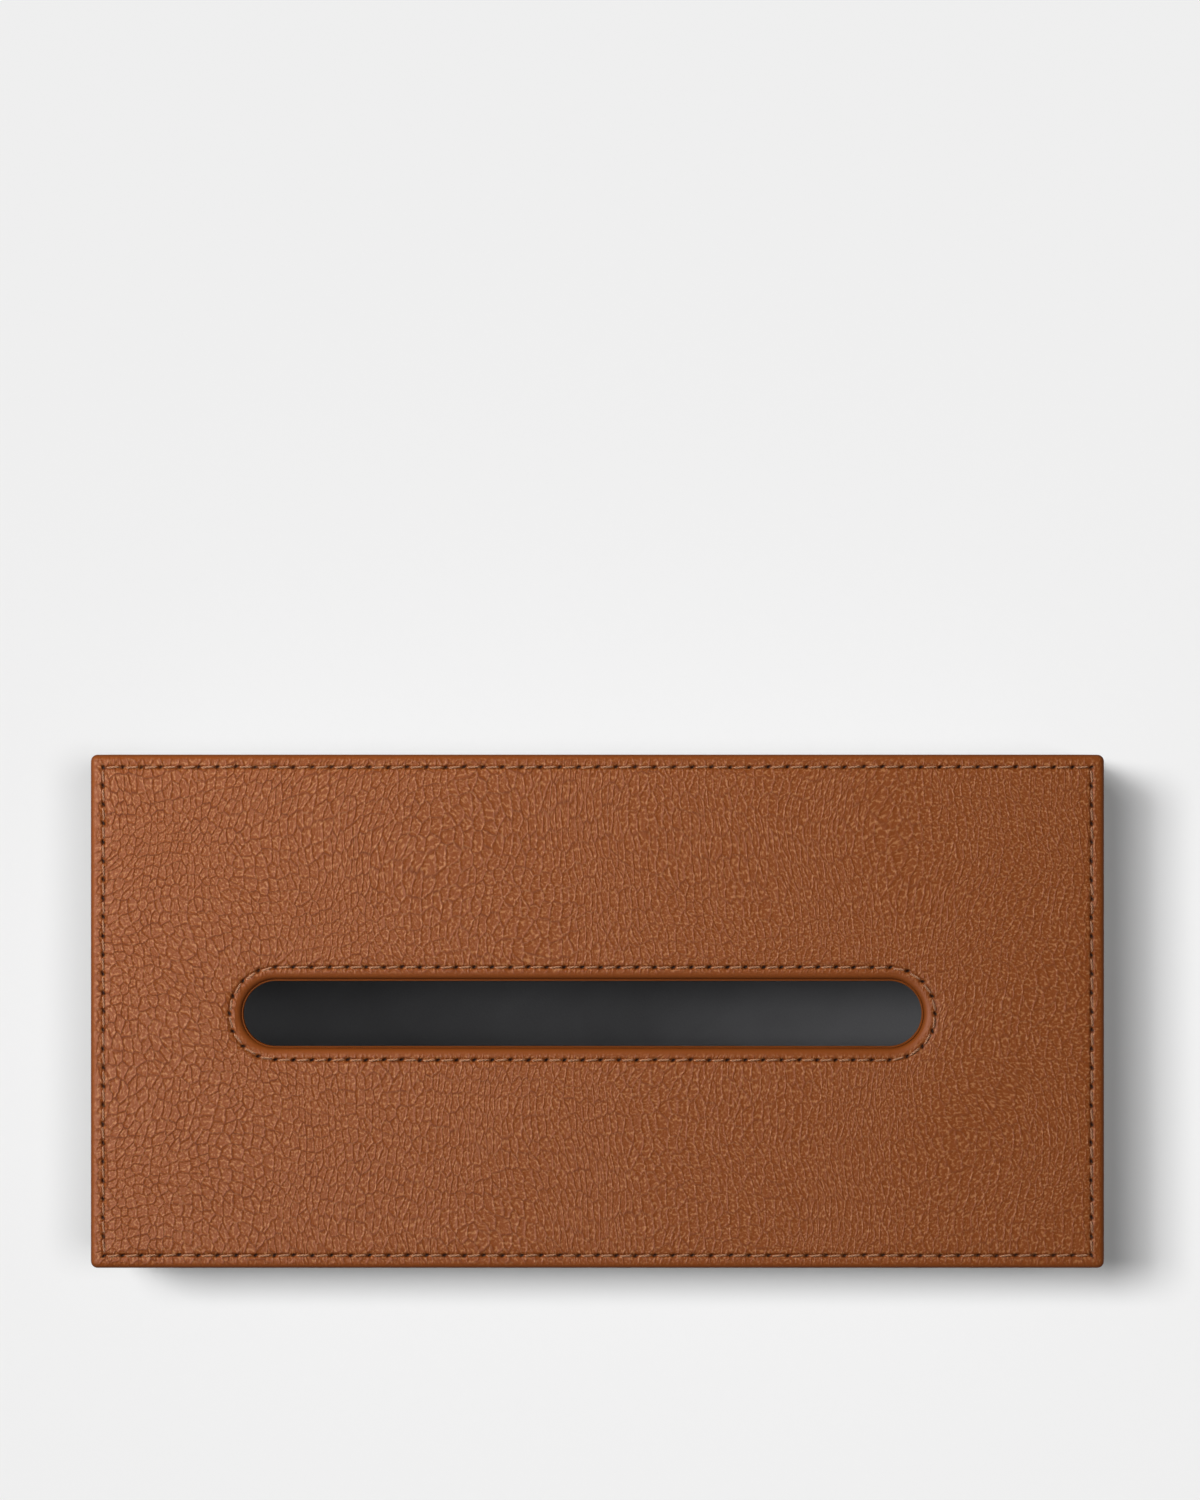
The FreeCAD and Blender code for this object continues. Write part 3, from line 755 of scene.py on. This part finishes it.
class TISSUE_COVER_OT_stitching(bpy.types.Operator):
    """Sews both seams: from hole to hole, three plies of thread twisted round each other"""

    bl_idname = "tissue_cover.stitching"
    bl_label = "Stitching"

    def execute(self, context):
        sizes, colours = context.scene.cover_sizes, context.scene.cover_colours
        material = twisted_thread(colours)
        seams, _ = all_holes(sizes)
        for name, holes, seed in zip(("edge_stitching", "slot_stitching"), seams, (11, 13)):
            self.sew(name, holes, sizes, material, seed)
        return {"FINISHED"}

    def sew(self, name, holes, sizes, material, seed):
        """One seam's thread, from each hole to the next and back to the first."""
        plies, rows, sides, filaments = 3, 19, 6, 6
        # Three plies that touch have 1 / 4.3 of the thread as radius, and these are a little apart
        ply = sizes.thread / 4.6
        swing = sizes.thread / 2 - ply
        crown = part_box("top_leather")[1].z - 0.2 * MM
        depth, uneven = 1.1 * MM, 0.03 * MM
        random = np.random.default_rng(seed)

        def bearings(start, end):
            """Each stitch's length, the way it runs and the way to its left."""
            run = np.linalg.norm(end - start, axis=1)
            heading = (end - start) / run[:, None]
            return run, heading, np.stack([-heading[:, 1], heading[:, 0]], axis=1)

        start, end = holes, np.roll(holes, -1, axis=0)
        run, _, left = bearings(start, end)
        shift = left * (run * math.tan(sizes.stitch_slant) / 2)[:, None]
        start, end = start - shift, end + shift
        _, heading, left = bearings(start, end)

        # A stitch leaves its holes at these shares of its run, lies flat in the middle and dips to both ends
        first, last, flat, dip = 0.13, 0.87, 0.42, 0.28
        share = np.linspace(first, last, rows)
        from_middle = 2 * share - 1
        sink = np.clip((np.abs(from_middle) - flat) / dip, 0, None)
        slope = -depth * 2 * sink / dip * 2 * np.sign(from_middle)
        plan = start[:, None, :] + (end - start)[:, None, :] * share[None, :, None]
        height = crown - depth * sink ** 2 + random.normal(0, uneven, (len(holes), 1))
        centre = np.concatenate([plan, height[:, :, None]], axis=2)
        tilt = np.arctan2(slope[None, :], run[:, None])[:, :, None]
        up = np.concatenate([-np.sin(tilt) * heading[:, None, :], np.cos(tilt)], axis=2)
        side = np.concatenate([left, np.zeros((len(holes), 1))], axis=1)[:, None, :] * np.ones((1, rows, 1))

        twist = 2 * math.pi * run[:, None] * share[None, :] / (plies * sizes.ply_step)
        twist = twist + random.uniform(0, 2 * math.pi, (len(holes), 1))
        around = (np.arange(sides) / sides * 2 * math.pi)[:, None]
        spoke = np.cos(around) * side[:, :, None, :] + np.sin(around) * up[:, :, None, :]
        points = []
        for k in range(plies):
            phase = (twist + 2 * math.pi * k / plies)[:, :, None]
            middle = centre + swing * (np.cos(phase) * side + np.sin(phase) * up)
            points.append(middle[:, :, None, :] + ply * spoke)
        points = np.stack(points, axis=1)
        # How far each point lies out from the thread's middle; the thread's material paints its highlight and
        # shade from this
        crowns = np.linalg.norm(points - centre[:, None, :, None, :], axis=-1) / (sizes.thread / 2)

        tube = quads(rows, sides, False, True)
        caps = [np.arange(sides)[::-1], (rows - 1) * sides + np.arange(sides)]
        strands = len(holes) * plies
        offsets = np.arange(strands) * rows * sides
        faces = (tube[None, :, :] + offsets[:, None, None]).reshape(-1, 4).tolist()
        faces += [cap + offset for offset in offsets for cap in caps]
        # Filaments run along each ply, so their pattern counts round it
        round_it = np.tile(np.arange(sides) / sides * filaments, strands * rows)
        along_it = np.tile(np.repeat(np.arange(rows) / rows, sides), strands)
        unrolled = np.stack([round_it, along_it], axis=1)
        add_piece(name, points, faces, material, "cover", {"crown": crowns}, unrolled)


def cloth_panel(name, low, high, material, body, hole=None):
    """A thin glued panel between two corners, with softened edges and, where one is given, a slot's hole."""
    low, high = np.array(low), np.array(high)
    thin = int(np.argmin(high - low))
    flat = [axis for axis in range(3) if axis != thin]
    middle, across = (low + high) / 2, high - low
    half = across[thin] / 2
    soft, corner, margin, columns = 0.9 * half, 0.3 * MM, 1 * MM, 320
    # A ring just inside the rim keeps the panel's faces flat to the light
    rim = rounding(soft, half, 1, 4) + [(soft + margin, half)]
    rim = [(inset, -height) for inset, height in rim[::-1]] + rim
    rings = []
    for inset, height in rim:
        points = outline(across[flat[0]] - 2 * inset, across[flat[1]] - 2 * inset, corner, columns)
        rings.append(ring(points, height))
    if hole is None:
        line_length = 0.6 * across[flat[0]]
        rings, faces = close_faces(rings, line_length, columns)
    else:
        place, length, width = hole
        hole = (place - middle[flat], length, width)
        lower = rings_round_slot(hole, [(0, -half), (margin, -half)], columns)
        upper = rings_round_slot(hole, [(margin, half), (0, half)], columns)
        rings = lower + rings + upper
        faces = quads(len(rings), columns, True, True)
    local = np.stack(rings).reshape(-1, 3)
    points = np.empty_like(local)
    points[:, [*flat, thin]] = local + middle[[*flat, thin]]
    return add_piece(name, points, faces, material, body)


class TISSUE_COVER_OT_linings(bpy.types.Operator):
    """Lines the ceiling and the four walls of the cover with microsuede"""

    bl_idname = "tissue_cover.linings"
    bl_label = "Linings"

    def execute(self, context):
        sizes, colours = context.scene.cover_sizes, context.scene.cover_colours
        material = microsuede(colours)
        middle, length, width = slot_place(sizes)
        facing_walls = 2 * MM
        for name in ("top_lining", "front_lining", "back_lining", "left_lining", "right_lining"):
            low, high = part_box(name)
            hole = (middle, length + facing_walls, width + facing_walls) if name == "top_lining" else None
            panel = cloth_panel(name, low, high, material, "cover", hole)
        return {"FINISHED"}


class TISSUE_COVER_OT_base_cloth(bpy.types.Operator):
    """Covers the base panel with microsuede, turned down round its edge, and lays felt under it"""

    bl_idname = "tissue_cover.base_cloth"
    bl_label = "Base lining and felt"

    def execute(self, context):
        colours = context.scene.cover_colours
        low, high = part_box("base_lining")
        board_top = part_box("base_board")[1].z
        length, width = high.x - low.x, high.y - low.y
        thick = high.z - board_top
        soft, corner, margin, columns = 0.9 * MM, 1.6 * MM, 6 * MM, 480
        profile = (
            [(margin, board_top), (thick, board_top), (thick, low.z), (0, low.z)]
            + rounding(soft, high.z, 1, 7)
            + [(margin, high.z)]
        )
        rings = rings_inside(length, width, corner, profile, columns)
        rings, faces = close_faces(rings, length - width, columns)
        lining = add_piece("base_lining", np.stack(rings), faces, microsuede(colours), "base")
        low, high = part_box("base_felt")
        felt = cloth_panel("base_felt", low, high, pressed_felt(colours), "base")
        return {"FINISHED"}


class TISSUE_COVER_OT_boards(bpy.types.Operator):
    """Finishes the boards, the cleats, the magnets and the steel discs"""

    bl_idname = "tissue_cover.boards"
    bl_label = "Boards and magnets"

    def execute(self, context):
        colours = context.scene.cover_colours
        fibreboard = pressed_fibreboard(colours)
        nickel = plated_metal("neodymium_nickel_plated", colours.nickel, roughness=0.18, spangle=0.6 * MM)
        zinc = plated_metal("steel_zinc_plated", colours.zinc, roughness=0.32, spangle=1.2 * MM)
        finishes = {"magnets": nickel, "keeper_discs": zinc}
        for name, node in frame["nodes"].items():
            if name.endswith(("board", "cleat")) or name in finishes:
                node.data.materials.clear()
                node.data.materials.append(finishes.get(name, fibreboard))
        return {"FINISHED"}


class TISSUE_COVER_OT_stage(bpy.types.Operator):
    """Sets the pale floor, the soft light from the upper left and the camera straight above"""

    bl_idname = "tissue_cover.stage"
    bl_label = "Stage"

    def execute(self, context):
        scene, colours = context.scene, context.scene.cover_colours
        scene.view_settings.view_transform = "Standard"
        pieces = bpy.data.collections.new("lit_as_pieces")
        within = bpy.data.collections.new("lit_through_slot")
        for piece in scene.objects:
            if piece.type == "MESH":
                pieces.objects.link(piece)
            if piece.name.startswith("base_lining"):
                within.objects.link(piece)
            # The walls throw no colour onto the paper
            if piece.name.startswith(("side_leather", *WALLS)):
                piece.visible_diffuse = False
        ground = bpy.data.collections.new("lit_as_floor")
        ground.objects.link(self.floor(scene, colours))
        self.sky(scene)
        self.lamps(scene, pieces, within, ground)
        self.camera(scene)
        return {"FINISHED"}

    def floor(self, scene, colours):
        """A sheet of matte paper, wide enough to reach the horizon."""
        material, tree = new_material("paper_matte_white")
        finish_surface(
            tree, {"Base Color": tuple(colours.floor), "Roughness": 1.0, "Specular IOR Level": 0.0}
        )
        reach = 12.0
        corners = [(-reach, -reach, 0), (reach, -reach, 0), (reach, reach, 0), (-reach, reach, 0)]
        mesh = bpy.data.meshes.new("floor")
        mesh.from_pydata(corners, [], [(0, 1, 2, 3)])
        mesh.materials.append(material)
        floor = bpy.data.objects.new("floor", mesh)
        scene.collection.objects.link(floor)
        return floor

    def sky(self, scene):
        """A backdrop as pale as the floor, and for reflections a room that is dim overhead.
        Neither gives light."""
        backdrop, low_down, overhead = 0.88, 0.5, 0.05
        scene.world = bpy.data.worlds.new("pale_room")
        scene.world.use_nodes = True
        tree = scene.world.node_tree
        tree.nodes.clear()
        way = add(tree, "TexCoord", out="Generated")
        height = add(tree, "SeparateXYZ", {0: way}, out="Z")
        level = add(tree, "MapRange", {"Value": height, "To Min": low_down, "To Max": overhead})
        rays = add(tree, "LightPath").node.outputs
        bent = {0: rays["Is Glossy Ray"], 1: rays["Is Transmission Ray"]}
        bent = add(tree, "Math", bent, operation="MAXIMUM")
        bent = add(tree, "Math", {0: bent, 1: level}, operation="MULTIPLY")
        strength = add(tree, "Mix", {0: rays["Is Camera Ray"], 2: bent, 3: backdrop}, data_type="FLOAT")
        light = add(tree, "Background", {"Color": (1, 1, 1, 1), "Strength": strength})
        add(tree, "OutputWorld", {"Surface": light})

    def lamps(self, scene, pieces, within, ground):
        """Lights the pieces with a softbox on the left under a wide panel.
        The lining that shows through the slot and the floor have lamps of their own."""

        def hang(name, kind, place, lit, **settings):
            light = bpy.data.lights.new(name, kind)
            for setting, value in settings.items():
                setattr(light, setting, value)
            lamp = bpy.data.objects.new(name, light)
            lamp.location = place
            lamp.rotation_euler = Vector(place).to_track_quat("Z", "Y").to_euler()
            lamp.light_linking.receiver_collection = lit
            scene.collection.objects.link(lamp)
            return lamp

        softbox = {"shape": "RECTANGLE", "size": 0.5, "size_y": 0.6}
        key = hang("key", "AREA", (-0.62, 0.42, 0.62), pieces, energy=7.4, **softbox)
        key.visible_glossy = False
        strip = {"shape": "RECTANGLE", "size": 0.15, "size_y": 1.2}
        hang("slot_left", "AREA", (1.1, 0.05, 0.8), within, energy=6.0, **strip)
        hang("slot_middle", "AREA", (-1.0, 0.07, 1.0), within, energy=4.4, **strip)
        strip["size_y"] = 0.5
        hang("slot_right", "AREA", (-1.5, 0.06, 0.97), within, energy=16.0, **strip)
        panel = hang("panel", "AREA", (0, 0, 1.5), pieces, energy=16.4, size=3.0)
        panel.visible_glossy = False
        # A square of light overhead that only the leather's sheen shows
        square = {"shape": "RECTANGLE", "size": 0.8, "size_y": 0.8}
        sheen = hang("sheen", "AREA", (-0.57, 0.05, 1.0), pieces, energy=9.5, **square)
        sheen.rotation_euler = (0, 0, 0)
        sheen.visible_diffuse = False
        disc = math.radians(8.4)
        hang("floor_near", "SUN", (-0.149, 0.1, 1), ground, energy=1.22, angle=disc)
        hang("floor_far", "SUN", (-0.253, 0.1, 1), ground, energy=1.22, angle=disc)
        hang("floor_fill", "SUN", (0.13, 0.02, 1), ground, energy=0.7, angle=disc)

    def camera(self, scene):
        """Straight above the middle of the photograph's frame.
        That lies a little to the right of the top's middle and far behind it."""
        frame_pixels, top_pixels, right_pixels, behind_pixels = 1500, 1013.5, 2.55, 261.4
        away = 2.4
        low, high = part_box("top_leather")
        pixel = (high.x - low.x) / top_pixels
        lens = bpy.data.cameras.new("camera")
        lens.sensor_width = 36.0
        lens.lens = lens.sensor_width * away / (frame_pixels * pixel)
        lens.clip_end = 50.0
        camera = bpy.data.objects.new("camera", lens)
        camera.location = (right_pixels * pixel, behind_pixels * pixel, high.z + away)
        scene.collection.objects.link(camera)
        scene.camera = camera


OPERATORS = (
    TISSUE_COVER_OT_boards,
    TISSUE_COVER_OT_linings,
    TISSUE_COVER_OT_base_cloth,
    TISSUE_COVER_OT_side_leather,
    TISSUE_COVER_OT_slot_facing,
    TISSUE_COVER_OT_top_leather,
    TISSUE_COVER_OT_stitching,
    TISSUE_COVER_OT_stage,
)


class TISSUE_COVER_PT_sidebar(bpy.types.Panel):
    """Lists the cover's sizes, its colours and the steps that make it"""

    bl_idname = "TISSUE_COVER_PT_sidebar"
    bl_label = "Tissue cover"
    bl_space_type = "VIEW_3D"
    bl_region_type = "UI"
    bl_category = "Tissue cover"

    def draw(self, context):
        for group in (context.scene.cover_sizes, context.scene.cover_colours):
            box = self.layout.box()
            for name in group.__annotations__:
                box.prop(group, name)
        for operator in OPERATORS:
            self.layout.operator(operator.bl_idname)


CLASSES = (CoverSizes, CoverColours, *OPERATORS, TISSUE_COVER_PT_sidebar)


def register():
    for cls in CLASSES:
        bpy.utils.register_class(cls)
    bpy.types.Scene.cover_sizes = bpy.props.PointerProperty(type=CoverSizes)
    bpy.types.Scene.cover_colours = bpy.props.PointerProperty(type=CoverColours)


def unregister():
    del bpy.types.Scene.cover_colours
    del bpy.types.Scene.cover_sizes
    for cls in reversed(CLASSES):
        bpy.utils.unregister_class(cls)


def main():
    register()
    bpy.ops.tissue_cover.boards()
    bpy.ops.tissue_cover.linings()
    bpy.ops.tissue_cover.base_cloth()
    bpy.ops.tissue_cover.side_leather()
    bpy.ops.tissue_cover.slot_facing()
    bpy.ops.tissue_cover.top_leather()
    bpy.ops.tissue_cover.stitching()
    bpy.ops.tissue_cover.stage()


if __name__ == "__main__":
    main()
